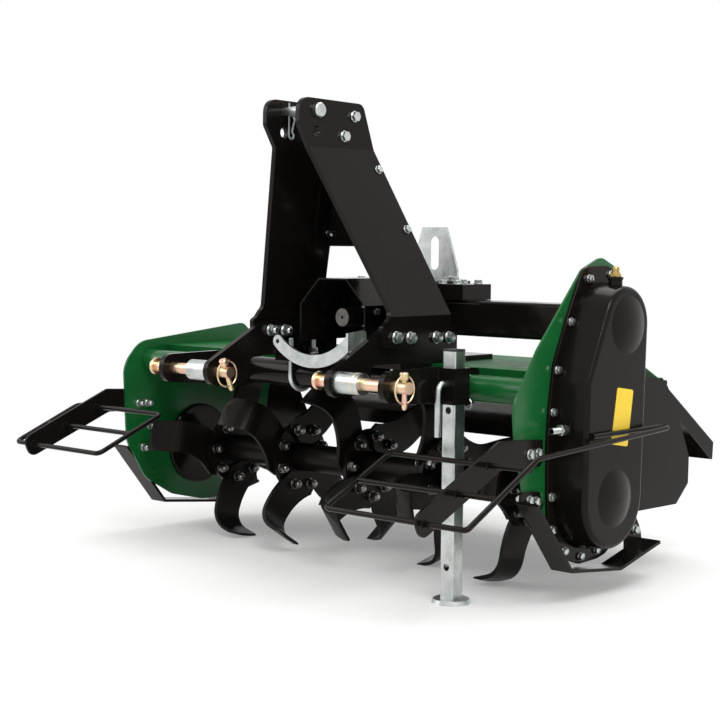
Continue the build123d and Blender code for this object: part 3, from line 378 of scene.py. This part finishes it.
class Shape:
    """Mesh under construction; places are points in metres, sizes are in millimetres."""

    def __init__(self):
        self.points = []
        self.faces = []

    def skin(self, rings, closed=False):
        """Faces over rings of equal count; the ends are capped unless the rings close up."""
        start = len(self.points)
        count = len(rings[0])
        for points in rings:
            self.points.extend(points)
        rows = len(rings) if closed else len(rings) - 1
        for row in range(rows):
            low = start + row * count
            high = start + (row + 1) % len(rings) * count
            for i in range(count):
                j = (i + 1) % count
                self.faces.append((low + i, low + j, high + j, high + i))
        if not closed:
            self.faces.append([start + i for i in reversed(range(count))])
            last = start + (len(rings) - 1) * count
            self.faces.append([last + i for i in range(count)])

    def plate(self, outline, low, high):
        """Flat plate between two x values; the outline is in (back, up)."""
        signed = sum(a.x * b.y - b.x * a.y for a, b in zip(outline, outline[1:] + outline[:1]))
        rim = outline if signed > 0 else outline[::-1]
        self.skin([[place(x, *point) for point in rim] for x in (low, high)])

    def turned(self, at, out, profile, count=24):
        """Round solid about an axis; the profile is rows of (radius, height)."""
        self.skin([ring(at, out, [row] * count) for row in profile])

    def hexagon(self, at, out, flat, low, high):
        """Hexagonal head or nut between two heights, with its corners chamfered."""
        crown = CROWN * flat
        reaches = [flat / 2 / math.cos(math.radians((math.degrees(turn) + 30) % 60 - 30))
                   for turn in turns(HEX_POINTS)]
        self.skin([
            ring(at, out, [(crown, low)] * HEX_POINTS),
            ring(at, out, [(reach, low + LOWER_CHAMFER * (reach - crown)) for reach in reaches]),
            ring(at, out, [(reach, high - UPPER_CHAMFER * (reach - crown)) for reach in reaches]),
            ring(at, out, [(crown, high)] * HEX_POINTS),
        ])

    def washer(self, at, out, radius, thickness):
        """Flat washer with broken edges."""
        self.turned(at, out, (
            (radius - BROKEN_EDGE, 0),
            (radius, BROKEN_EDGE),
            (radius, thickness - BROKEN_EDGE),
            (radius - BROKEN_EDGE, thickness),
        ), WASHER_POINTS)

    def bolt(self, at, out, flat):
        """Washer and bolt head; flat is the width across flats."""
        lift = WASHER_HEIGHT * flat
        self.washer(at, out, WASHER_RADIUS * flat, lift)
        self.hexagon(at, out, flat, lift, HEAD_TOP * flat)

    def nut(self, at, out, flat, spare=5.0):
        """Washer, nut and the spare thread that stands out of it."""
        lift = WASHER_HEIGHT * flat
        top = NUT_TOP * flat
        self.washer(at, out, WASHER_RADIUS * flat, lift)
        self.hexagon(at, out, flat, lift, top)
        self.thread(at, out, THREAD_RADIUS * flat, top, top + spare)

    def thread(self, at, out, radius, low, high):
        """Threaded end of a bolt between two heights."""
        profile = [(THREAD_START * radius, low)]
        for turn in range(int((high - low) / THREAD_PITCH)):
            for share, step in THREAD_TURN:
                profile.append((share * radius, low + (turn + step) * THREAD_PITCH))
        profile.append((THREAD_END * radius, high))
        self.turned(at, out, profile)

    def wire(self, path, radius, count=10, closed=False):
        """Round wire along a path of points."""
        rings = []
        side = None
        for point, along in zip(path, headings(path, closed)):
            if side is None:
                side = along.orthogonal().normalized()
            side = (side - along * side.dot(along)).normalized()
            rings.append(circle(point, side, along.cross(side), radius, count))
        self.skin(rings, closed)

    def bead(self, path, radius, closed=False):
        """Weld bead along a path, with its ripples."""
        rings = []
        for i, (point, along) in enumerate(zip(path, headings(path, closed))):
            side = along.orthogonal().normalized()
            size = radius * (1 if i % 2 else BEAD_DIP)
            rings.append(circle(point, side, along.cross(side), size, BEAD_POINTS))
        self.skin(rings, closed)


SHARP_ANGLE = 32
BEVEL_ANGLE = 40


def piece(name, shape, body, slot, material=None):
    """Finished piece from a shape, on a body and with a material."""
    mesh = bpy.data.meshes.new(name)
    mesh.from_pydata(shape.points, [], shape.faces)
    mesh.validate()
    mesh.polygons.foreach_set("use_smooth", [True] * len(mesh.polygons))
    mesh.set_sharp_from_angle(angle=math.radians(SHARP_ANGLE))
    mesh.materials.append(materials[material or slot])
    part = bpy.data.objects.new(name, mesh)
    bpy.context.collection.objects.link(part)
    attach(part, body)
    return part


def soften(part, width):
    """Small bevel on the sharp edges of a piece."""
    edge = part.modifiers.new("edge", "BEVEL")
    edge.width = width / 1000
    edge.segments = 2
    edge.limit_method = "ANGLE"
    edge.angle_limit = math.radians(BEVEL_ANGLE)
    return part


# Mast bolts, with rows of (back, up). The mast plates lean in from their lower fold upwards.
MAST_FOOT_BOLTS = ((144, 76), (184, 74), (261, 72), (299, 71))
MAST_TOP_BOLTS = ((165, 493), (137, 454))
BRACE_BOLTS = ((218, 393), (249, 278))
FOOT_FLAT = 19
TOP_FLAT = 17
BRACE_FLAT = 13
BRACE_GRIP = 15.2
MAST_FOLD = 115.0
MAST_RISE = 316.0
MAST_LEAN = MAST_OUT - TOP_OUT

mast_bolts = Shape()
for side in (-1, 1):
    for back, up in MAST_FOOT_BOLTS:
        mast_bolts.bolt(place(side * MAST_OUT, back, up), side * RIGHT, FOOT_FLAT)
        mast_bolts.nut(place(side * HEADSTOCK_IN, back, up), -side * RIGHT, FOOT_FLAT)
for back, up in MAST_TOP_BOLTS:
    mast_bolts.bolt(place(TOP_OUT, back, up), RIGHT, TOP_FLAT)
    mast_bolts.nut(place(-TOP_OUT, back, up), -RIGHT, TOP_FLAT, 4)
for back, up in BRACE_BOLTS:
    face = MAST_OUT - (up - MAST_FOLD) * MAST_LEAN / MAST_RISE
    for side in (-1, 1):
        out = Vector((side * MAST_RISE, 0, MAST_LEAN)).normalized()
        at = place(side * face, back, up)
        mast_bolts.bolt(at, out, BRACE_FLAT)
        mast_bolts.nut(at - out * BRACE_GRIP / 1000, -out, BRACE_FLAT)
piece("mast_bolts", mast_bolts, "frame", "zinc")

# Top link pin: its washer, the rounded face of its head and the clip through its end. The
# clip's rows are (back, up).
TOP_HEAD_OUT = limits("top_link_pin")[1][0]
TOP_HEAD = ((13.9, -1), (13.9, 0.2), (12.2, 2.2), (6, 2.8))
TOP_CLIP = ((64, 516), (64, 452), (72, 446), (78, 454), (72, 462), (75, 474), (79, 486), (74, 492))
TOP_CLIP_X = -27
TOP_CLIP_WIRE = 1.8
CLIP_BEND = 6

top_pin_fit = Shape()
top_pin_fit.washer(place(-TOP_OUT, TOP_PIN_BACK, TOP_PIN_UP), -RIGHT, 16, 2.5)
top_pin_fit.turned(place(TOP_HEAD_OUT, TOP_PIN_BACK, TOP_PIN_UP), RIGHT, TOP_HEAD, 40)
top_pin_fit.wire(bent([(TOP_CLIP_X, *spot) for spot in TOP_CLIP], CLIP_BEND), TOP_CLIP_WIRE)
piece("top_pin_fit", top_pin_fit, "frame", "zinc")

# Bolts of the guard arms and the skids. Rows are (back, up, outer face, has a nut inside).
ARM_PLATE = 6.0
ARM_LEFT = LEFT_OUT - ARM_PLATE
ARM_RIGHT = RIGHT_OUT
LEFT_BOLTS = (
    (183, -108, ARM_LEFT, True),
    (208, -109, ARM_LEFT, True),
    (214, -160, LEFT_OUT, True),
    (196, -208, ARM_LEFT, True),
    (529, -299, ARM_LEFT, False),
)
RIGHT_BOLTS = (
    (183, -120, FLANGE_OUT, True),
    (208, -120, FLANGE_OUT, True),
    (183, -203, FLANGE_OUT, True),
    (203, -207, FLANGE_OUT, True),
    (529, -299, FLANGE_OUT, False),
)
SIDE_FLAT = 15

side_bolts = Shape()
for out, inside, rows in ((-RIGHT, LEFT_IN, LEFT_BOLTS), (RIGHT, RIGHT_IN, RIGHT_BOLTS)):
    for back, up, face, has_nut in rows:
        side_bolts.bolt(place(face, back, up), out, SIDE_FLAT)
        if has_nut:
            side_bolts.nut(place(inside, back, up), -out, SIDE_FLAT)
piece("side_bolts", side_bolts, "frame", "zinc")

# Flange of the chain case, with rows of (back, up, corner radius), and its bolts
FLANGE_OUTLINE = (
    (340, 212, 34), (428, 214, 40), (498, 150, 60), (480, -40, 90), (492, -215, 80),
    (440, -330, 60), (400, -338, 30), (340, -340, 40), (285, -321, 40), (243, -275, 50),
    (238, -190, 60), (236, -105, 60), (240, -45, 60), (252, 36, 60), (292, 122, 60),
)
FLANGE_SEAT = 0.1
FLANGE_LIFT = 0.03
CASE_BOLTS = (
    (357, 190), (302, 112), (262, 26), (251, -50), (250, -204), (254, -264), (293, -309),
    (345, -326), (397, -321), (430, -303), (462, -262), (474, -140), (473, -60), (476.5, 20),
    (470, 150), (428, 197),
)
CASE_FLAT = 13

flange = Shape()
flange.plate(rounded(FLANGE_OUTLINE), RIGHT_OUT + FLANGE_SEAT, FLANGE_OUT + FLANGE_LIFT)
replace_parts(soften(piece("case_flange", flange, "frame", "black_coat"), 1.0), "chain_flange")

case_bolts = Shape()
for back, up in CASE_BOLTS:
    case_bolts.bolt(place(FLANGE_OUT, back, up), RIGHT, CASE_FLAT)
    case_bolts.nut(place(RIGHT_IN, back, up), -RIGHT, CASE_FLAT, 4)
piece("case_bolts", case_bolts, "frame", "zinc")

# Nuts on the U-bolts round the tube
CLAMP_X = 137.25
CLAMP_REACH = 32.7
CLAMP_WASHER = 2.2
CLAMP_NUT = 11
CLAMP_END = 33

clamp_nuts = Shape()
for x in (-CLAMP_X, CLAMP_X):
    for back in (TUBE_BACK - CLAMP_REACH, TUBE_BACK + CLAMP_REACH):
        at = place(x, back, TUBE_SADDLE_TOP)
        clamp_nuts.washer(at, UP, 11, CLAMP_WASHER)
        clamp_nuts.hexagon(at, UP, 17, CLAMP_WASHER, CLAMP_NUT)
        clamp_nuts.thread(at, UP, 5.6, CLAMP_NUT, CLAMP_END)
piece("clamp_nuts", clamp_nuts, "frame", "zinc")

# Nut and screw of the chain tensioner, on the front of the case
TENSIONER = (485, 250, -80)
TENSIONER_NUT = 9
TENSIONER_END = 34

tensioner = Shape()
at = place(*TENSIONER)
tensioner.hexagon(at, -REAR, 19, -1, TENSIONER_NUT)
tensioner.thread(at, -REAR, 6.0, TENSIONER_NUT, TENSIONER_END)
piece("tensioner_nut", tensioner, "frame", "zinc")

# Bolts on and round the gearbox, with rows of (place, direction, width across flats)
COVER_CIRCLE = 34.0
COVER_COUNT = 6
COVER_FLAT = 10
box_rows = [((x, 458, TOP_PLATE_TOP), UP, 14) for x in (-40, 40)]
box_rows += [((x, back, TOP_PLATE_TOP), UP, 15) for x in (-70, 70) for back in (320, 452)]
box_rows += [((x, back, BEAM_SADDLE_TOP), UP, 15) for x in (112, 150) for back in (360, 426)]
box_rows += [((x, back, CRADLE_TOP), UP, 17) for x in (-110, 110) for back in (300, 420)]
for step in range(COVER_COUNT):
    turn = math.radians(360 / COVER_COUNT * (step + 0.5))
    x = COVER_CIRCLE * math.cos(turn)
    up = DRIVE_UP + COVER_CIRCLE * math.sin(turn)
    box_rows.append(((x, GEARBOX_FRONT, up), -REAR, COVER_FLAT))
box_rows.append(((SHIELD_OUT, 190, 120), RIGHT, COVER_FLAT))

box_bolts = Shape()
for spot, out, flat in box_rows:
    box_bolts.bolt(place(*spot), out, flat)
piece("gearbox_bolts", box_bolts, "frame", "zinc")

# Bearing of the rotor outside the left side plate: its bolts and the shaft's end
SHAFT_END = ((18, -1), (18, 1), (15, 3.5), (4, 4.2))

bearing_bolts = Shape()
for turn in turns(COVER_COUNT):
    back = ROTOR_BACK + COVER_CIRCLE * math.cos(turn)
    up = ROTOR_UP + COVER_CIRCLE * math.sin(turn)
    bearing_bolts.bolt(place(BEARING_OUT, back, up), -RIGHT, COVER_FLAT)
bearing_bolts.turned(place(BEARING_OUT, ROTOR_BACK, ROTOR_UP), -RIGHT, SHAFT_END, 40)
piece("bearing_bolts", bearing_bolts, "frame", "zinc")

# Two bolts through each tine and its disc. The tines lie by turns on the disc's left and
# right; the faces are given from the middle of the disc.
FIRST_DISC = -488.0
DISC_SPACING = 204.0
DISC_COUNT = 5
DISC_TWIST = 22.5
DISC_FACE = 5
TINE_FACE = 13
TINES_PER_DISC = 4
ROOT_PHASE = 17.75
ROOT_CIRCLE = 63.0
ROOT_HALF_ANGLE = 22.5
ROOT_FLAT = 18

rotor_bolts = Shape()
for number in range(DISC_COUNT):
    x = FIRST_DISC + DISC_SPACING * number
    for step in range(TINES_PER_DISC):
        root = ROOT_PHASE - DISC_TWIST * number + 360 / TINES_PER_DISC * step
        right, left = (TINE_FACE, DISC_FACE) if step % 2 else (DISC_FACE, TINE_FACE)
        for half in (-ROOT_HALF_ANGLE, ROOT_HALF_ANGLE):
            turn = math.radians(root + half)
            back = ROTOR_BACK + ROOT_CIRCLE * math.cos(turn)
            up = ROTOR_UP + ROOT_CIRCLE * math.sin(turn)
            rotor_bolts.nut(place(x + right, back, up), RIGHT, ROOT_FLAT, 6)
            rotor_bolts.bolt(place(x - left, back, up), -RIGHT, ROOT_FLAT)
# The rotor bolts take the tine_bolt metal, whose pale patches are painted glints
piece("rotor_bolts", rotor_bolts, "rotor", "dark_steel", "tine_bolt")

# Washers of the lower pins, outside the left ear of each bay
EAR_REACH = 12.4
bay_inside = limits("hitch_sleeves")[1][0]
bay_outside = limits("tube_sleeve")[1][0]

pin_washers = Shape()
for bay in (-bay_outside, bay_inside):
    pin_washers.washer(place(bay - EAR_REACH, 0, 0), -RIGHT, 20.5, 2.4)
piece("pin_washers", pin_washers, "frame", "yellow_zinc")

# Guard arms, with the knee and the end as (back, up), and the rungs along them
LEFT_ARM = ((92, -97), (-98, -176))
RIGHT_ARM = ((92, -115), (-106, -209))
RUNG_SHARES = (0.14, 0.57, 1.0)


def rungs(knee, end):
    """Places of a guard's rungs on its arm, as (back, up)."""
    return [tuple(a + share * (b - a) for a, b in zip(knee, end)) for share in RUNG_SHARES]


# Weld beads: round the rungs, along the stand's socket and round the drive beam's end
RUNG_BEAD = 6.2
BEAD_SINK = 0.3
SOCKET_OUT = 0.65
SOCKET_INSET = 0.5
SOCKET_SHORT = 2.0
socket_low, socket_high = limits("stand_socket")
beam_low, beam_high = limits("drive_beam")
beam_end = (
    (beam_low[1], beam_low[2]),
    (beam_high[1], beam_low[2]),
    (beam_high[1], beam_high[2]),
    (beam_low[1], beam_high[2]),
)

welds = Shape()
for arm, low in ((LEFT_ARM, ARM_LEFT), (RIGHT_ARM, ARM_RIGHT)):
    for spot in rungs(*arm):
        for x in (low + BEAD_SINK, low + ARM_PLATE - BEAD_SINK):
            welds.bead(circle(place(x, *spot), REAR, UP, RUNG_BEAD, 20), 2.0, closed=True)
x = socket_low[0] + SOCKET_OUT
for back in (socket_low[1] + SOCKET_INSET, socket_high[1] - SOCKET_INSET):
    ends = [(x, back, up) for up in (socket_low[2] + SOCKET_SHORT, socket_high[2] - SOCKET_SHORT)]
    welds.bead(line(*ends), 2.2)
for _, here, after in neighbours(beam_end):
    welds.bead(line((RIGHT_IN - 1, *here), (RIGHT_IN - 1, *after)), 3.0)
piece("weld_beads", welds, "frame", "black_coat")

# Blank label on the chain case
LABEL = ((343, -110), (398, -119), (414, -15), (361, -7))
LABEL_CORNER = 5
LABEL_SINK = 0.1
LABEL_LIFT = 0.35

label_outline = []
for corners in neighbours(LABEL):
    label_outline.extend(eased(*(Vector(corner) for corner in corners), LABEL_CORNER, 6))
label = Shape()
label.plate(label_outline, CASE_OUT - LABEL_SINK, CASE_OUT + LABEL_LIFT)
piece("case_label", label, "frame", "yellow_zinc", "label")

# Guards: an arm plate on each side plate carries a ladder of round bar. The right ladder's
# outer bar also runs back beside the chain case and returns along its face.
ARM_REAR = 222
ARM_HALF = 23
ARM_TIP = 18.5
GUARD_BAR = 5.0
BAR_POINTS = 16
BAR_SEAT = 0.2
LADDER_OUT = 56
LADDER_IN = 222
LADDER_CORNER = 14
CASE_BAR_GAP = 25
CASE_BAR_CORNER = 9
CASE_BAR_KNEE = (84, -111)
CASE_BAR_REAR = (498, -90)
CASE_BAR_END = (276, -90)


def arm_outline(knee, end):
    """Outline of an arm: level at the side plate, then sloping down to a round end."""
    run = (Vector(end) - Vector(knee)).normalized()
    across = Vector((run.y, -run.x)) * ARM_HALF
    tip = Vector(end) + run * ARM_TIP
    return rounded((
        (ARM_REAR, knee[1] + 18, 4),
        (ARM_REAR, knee[1] - 30, 12),
        (knee[0] + 10, knee[1] - 25, 24),
        (tip.x - across.x, tip.y - across.y, 20),
        (tip.x + across.x, tip.y + across.y, 20),
        (knee[0] + 5, knee[1] + 26, 16),
    ))


arms = Shape()
arms.plate(arm_outline(*LEFT_ARM), ARM_LEFT, ARM_LEFT + ARM_PLATE)
arms.plate(arm_outline(*RIGHT_ARM), ARM_RIGHT, ARM_RIGHT + ARM_PLATE)
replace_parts(soften(piece("guard_arm_plates", arms, "frame", "black_coat"), 0.8), "guard_arms")

rear, middle, front = rungs(*LEFT_ARM)
ladder_ends = (ARM_LEFT - LADDER_OUT, ARM_LEFT + LADDER_IN)

ladder = Shape()
for end in ladder_ends:
    half = ((ARM_LEFT, *rear), (end, *rear), (end, *front), (ARM_LEFT, *front))
    ladder.wire(bent(half, LADDER_CORNER), GUARD_BAR, BAR_POINTS)
ladder.wire([place(end, *middle) for end in ladder_ends], GUARD_BAR, BAR_POINTS)
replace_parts(piece("guard_ladder_left", ladder, "frame", "black_coat"), "guard_bars_left")

rear, middle, front = rungs(*RIGHT_ARM)
inner_end = ARM_RIGHT - LADDER_IN
outer_bar = CASE_OUT + CASE_BAR_GAP
case_bar = CASE_OUT + GUARD_BAR + BAR_SEAT
inner_half = ((outer_bar, *rear), (inner_end, *rear), (inner_end, *front), (ARM_RIGHT, *front))
outer_half = (
    (ARM_RIGHT, *front),
    (outer_bar, *front),
    (outer_bar, *CASE_BAR_KNEE),
    (outer_bar, *CASE_BAR_REAR),
    (case_bar, *CASE_BAR_REAR),
    (case_bar, *CASE_BAR_END),
)

ladder = Shape()
ladder.wire(bent(inner_half, LADDER_CORNER), GUARD_BAR, BAR_POINTS)
ladder.wire(bent(outer_half, CASE_BAR_CORNER), GUARD_BAR, BAR_POINTS)
ladder.wire([place(inner_end, *middle), place(outer_bar, *middle)], GUARD_BAR, BAR_POINTS)
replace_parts(piece("guard_ladder_right", ladder, "frame", "black_coat"), "guard_bars_right")

# Lynch pins with their rings, with rows of (x, lean in degrees)
LYNCH_ROWS = ((-130.75, 22), (324.25, 2))
LYNCH_SHANK = ((2.5, -39), (3.6, -38), (4.9, -33), (4.9, 14))
LYNCH_HEAD = ((6.6, 13.5), (8.2, 15), (8.2, 25), (6.4, 27.4), (2, 28))
RING_RADIUS = 25
RING_WIRE = 1.7
RING_DROP = 3

lynch = Shape()
for x, lean in LYNCH_ROWS:
    turn = math.radians(lean)
    axis = Vector((0, -math.sin(turn), math.cos(turn)))
    across = Vector((0, axis.z, -axis.y))
    at = place(x, 0, 0)
    lynch.turned(at, axis, LYNCH_SHANK)
    lynch.turned(at, axis, LYNCH_HEAD, 28)
    ring_middle = at + (RIGHT - RING_DROP * axis) / 1000
    lynch.wire(circle(ring_middle, axis, across, RING_RADIUS, 64), RING_WIRE, closed=True)
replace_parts(piece("lynch_pin_set", lynch, "frame", "yellow_zinc"), "lynch_pins")

# Spring clip of the stand's pin, with rows of (how far right of the pin, up)
STAND_CLIP = (
    (0, 14), (0, -30), (0, -44), (7, -50), (16, -46), (17, -36), (10, -28), (8.5, -16),
    (8, 0), (9, 6), (13, 14),
)
STAND_CLIP_X = 319.3
STAND_CLIP_BACK = 174
STAND_CLIP_WIRE = 1.6

clip_path = [(STAND_CLIP_X + right, STAND_CLIP_BACK, up) for right, up in STAND_CLIP]
clip = Shape()
clip.wire(bent(clip_path, CLIP_BEND), STAND_CLIP_WIRE)
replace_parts(piece("stand_spring_clip", clip, "stand", "zinc"), "stand_clip")

# Breather and collar of the chain case's filler neck
BREATHER_FOOT = 6.5
BREATHER_CAP = (
    (7.6, 6), (7.6, 9), (6.2, 9.6), (6.2, 11), (6.9, 11.6), (6.9, 16), (5.9, 17.6), (3.0, 18.7),
)
COLLAR = ((13.4, -6), (14.6, -5), (14.6, -1.2), (13.6, -0.2), (10, 0))
neck_x, neck_back, _ = centre("filler_cap")
neck = place(neck_x, neck_back, limits("filler_cap")[0][2])

breather = Shape()
breather.hexagon(neck, UP, 20, 0, BREATHER_FOOT)
breather.turned(neck, UP, BREATHER_CAP, 32)
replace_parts(piece("breather", breather, "frame", "brass"), "filler_cap")

collar = Shape()
collar.turned(neck, UP, COLLAR, 40)
piece("neck_collar", collar, "frame", "black_coat")


# Camera, floor, world and light

CAMERA_PLACE = (2145.2, -2109.9, 253.2)
CAMERA_AZIMUTH = 42.39
CAMERA_PITCH = 4.2
CAMERA_ROLL = 0.5
LENS = 80.13
SENSOR = 36.0

camera_data = bpy.data.cameras.new("camera")
camera_data.lens = LENS
camera_data.sensor_width = SENSOR
camera = bpy.data.objects.new("camera", camera_data)
camera.matrix_world = (
    Matrix.Translation(place(*CAMERA_PLACE))
    @ Matrix.Rotation(math.radians(CAMERA_AZIMUTH), 4, "Z")
    @ Matrix.Rotation(math.radians(90 - CAMERA_PITCH), 4, "X")
    @ Matrix.Rotation(math.radians(CAMERA_ROLL), 4, "Z")
)
bpy.context.collection.objects.link(camera)
bpy.context.scene.camera = camera
bpy.context.scene.view_settings.view_transform = "Standard"

WHITE = (1, 1, 1, 1)
AMBIENT = (1.0, 0.99, 0.97, 1)
AMBIENT_STRENGTH = 0.75
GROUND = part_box("stand_foot")[0][2]
FLOOR_HALF = 9
FLOOR_PATCHES = 0.6
FLOOR_SHADES = ((0.3, (0.9, 0.9, 0.9)), (0.7, (0.94, 0.94, 0.94)))

# How white the floor shows near the origin and far from it, and the distances in metres
WHITE_NEAR = 0.2
WHITE_FAR = 1.0
NEAR = 0.75
FAR = 2.2


def seen(nodes, links):
    """1 for camera, glossy and transmission rays, otherwise 0."""
    rays = nodes.new("ShaderNodeLightPath")
    found = rays.outputs["Is Camera Ray"]
    for kind in ("Is Glossy Ray", "Is Transmission Ray"):
        either = nodes.new("ShaderNodeMath")
        either.operation = "MAXIMUM"
        links.new(found, either.inputs[0])
        links.new(rays.outputs[kind], either.inputs[1])
        found = either.outputs[0]
    return found


def floor_material():
    """Pale floor that takes shadows near the machine and turns white away from it."""
    material, nodes, links, shader = node_tree("floor")
    shades = ramp(nodes, links, noise(nodes, links, FLOOR_PATCHES), FLOOR_SHADES)
    links.new(shades, shader.inputs["Base Color"])
    shader.inputs["Roughness"].default_value = 0.8
    shader.inputs["Specular IOR Level"].default_value = 0.1
    glow = nodes.new("ShaderNodeEmission")
    glow.inputs["Color"].default_value = WHITE
    glow.inputs["Strength"].default_value = 1.0
    coords = nodes.new("ShaderNodeTexCoord")
    distance = nodes.new("ShaderNodeVectorMath")
    distance.operation = "LENGTH"
    links.new(coords.outputs["Object"], distance.inputs[0])
    away = distance.outputs["Value"]
    share = nodes.new("ShaderNodeMath")
    share.operation = "MULTIPLY"
    links.new(spread(nodes, links, away, WHITE_NEAR, WHITE_FAR, NEAR, FAR), share.inputs[0])
    links.new(seen(nodes, links), share.inputs[1])
    blend = nodes.new("ShaderNodeMixShader")
    links.new(share.outputs[0], blend.inputs["Fac"])
    links.new(shader.outputs["BSDF"], blend.inputs[1])
    links.new(glow.outputs[0], blend.inputs[2])
    links.new(blend.outputs[0], nodes["Material Output"].inputs["Surface"])
    return material


def studio():
    """World that shows as white and lights the machine a little less brightly."""
    world = bpy.data.worlds.new("studio")
    world.use_nodes = True
    nodes = world.node_tree.nodes
    links = world.node_tree.links
    nodes.clear()
    out = nodes.new("ShaderNodeOutputWorld")
    mix = nodes.new("ShaderNodeMixShader")
    links.new(seen(nodes, links), mix.inputs["Fac"])
    for slot, colour, strength in ((1, AMBIENT, AMBIENT_STRENGTH), (2, WHITE, 1.0)):
        background = nodes.new("ShaderNodeBackground")
        background.inputs["Color"].default_value = colour
        background.inputs["Strength"].default_value = strength
        links.new(background.outputs[0], mix.inputs[slot])
    links.new(mix.outputs[0], out.inputs["Surface"])
    return world


def lamp(name, where, aim, size, power):
    """Soft square light at a place, turned to an aim, both in metres."""
    data = bpy.data.lights.new(name, "AREA")
    data.size = size
    data.energy = power
    light = bpy.data.objects.new(name, data)
    light.location = where
    light.rotation_euler = (Vector(aim) - Vector(where)).to_track_quat("-Z", "Y").to_euler()
    bpy.context.collection.objects.link(light)


floor_mesh = bpy.data.meshes.new("floor")
floor_mesh.from_pydata([
    (-FLOOR_HALF, -FLOOR_HALF, GROUND),
    (FLOOR_HALF, -FLOOR_HALF, GROUND),
    (FLOOR_HALF, FLOOR_HALF, GROUND),
    (-FLOOR_HALF, FLOOR_HALF, GROUND),
], [], [(0, 1, 2, 3)])
floor_mesh.materials.append(floor_material())
floor = bpy.data.objects.new("floor", floor_mesh)
bpy.context.collection.objects.link(floor)

bpy.context.scene.world = studio()

lamp("key", (2.2, -1.2, 2.6), (0, 0, 0), 1.6, 70)
lamp("fill", (-2.6, -2.0, 1.6), (0, 0, 0), 2.0, 30)
lamp("top", (0.0, 1.2, 2.8), (0, 0.1, 0), 2.0, 40)
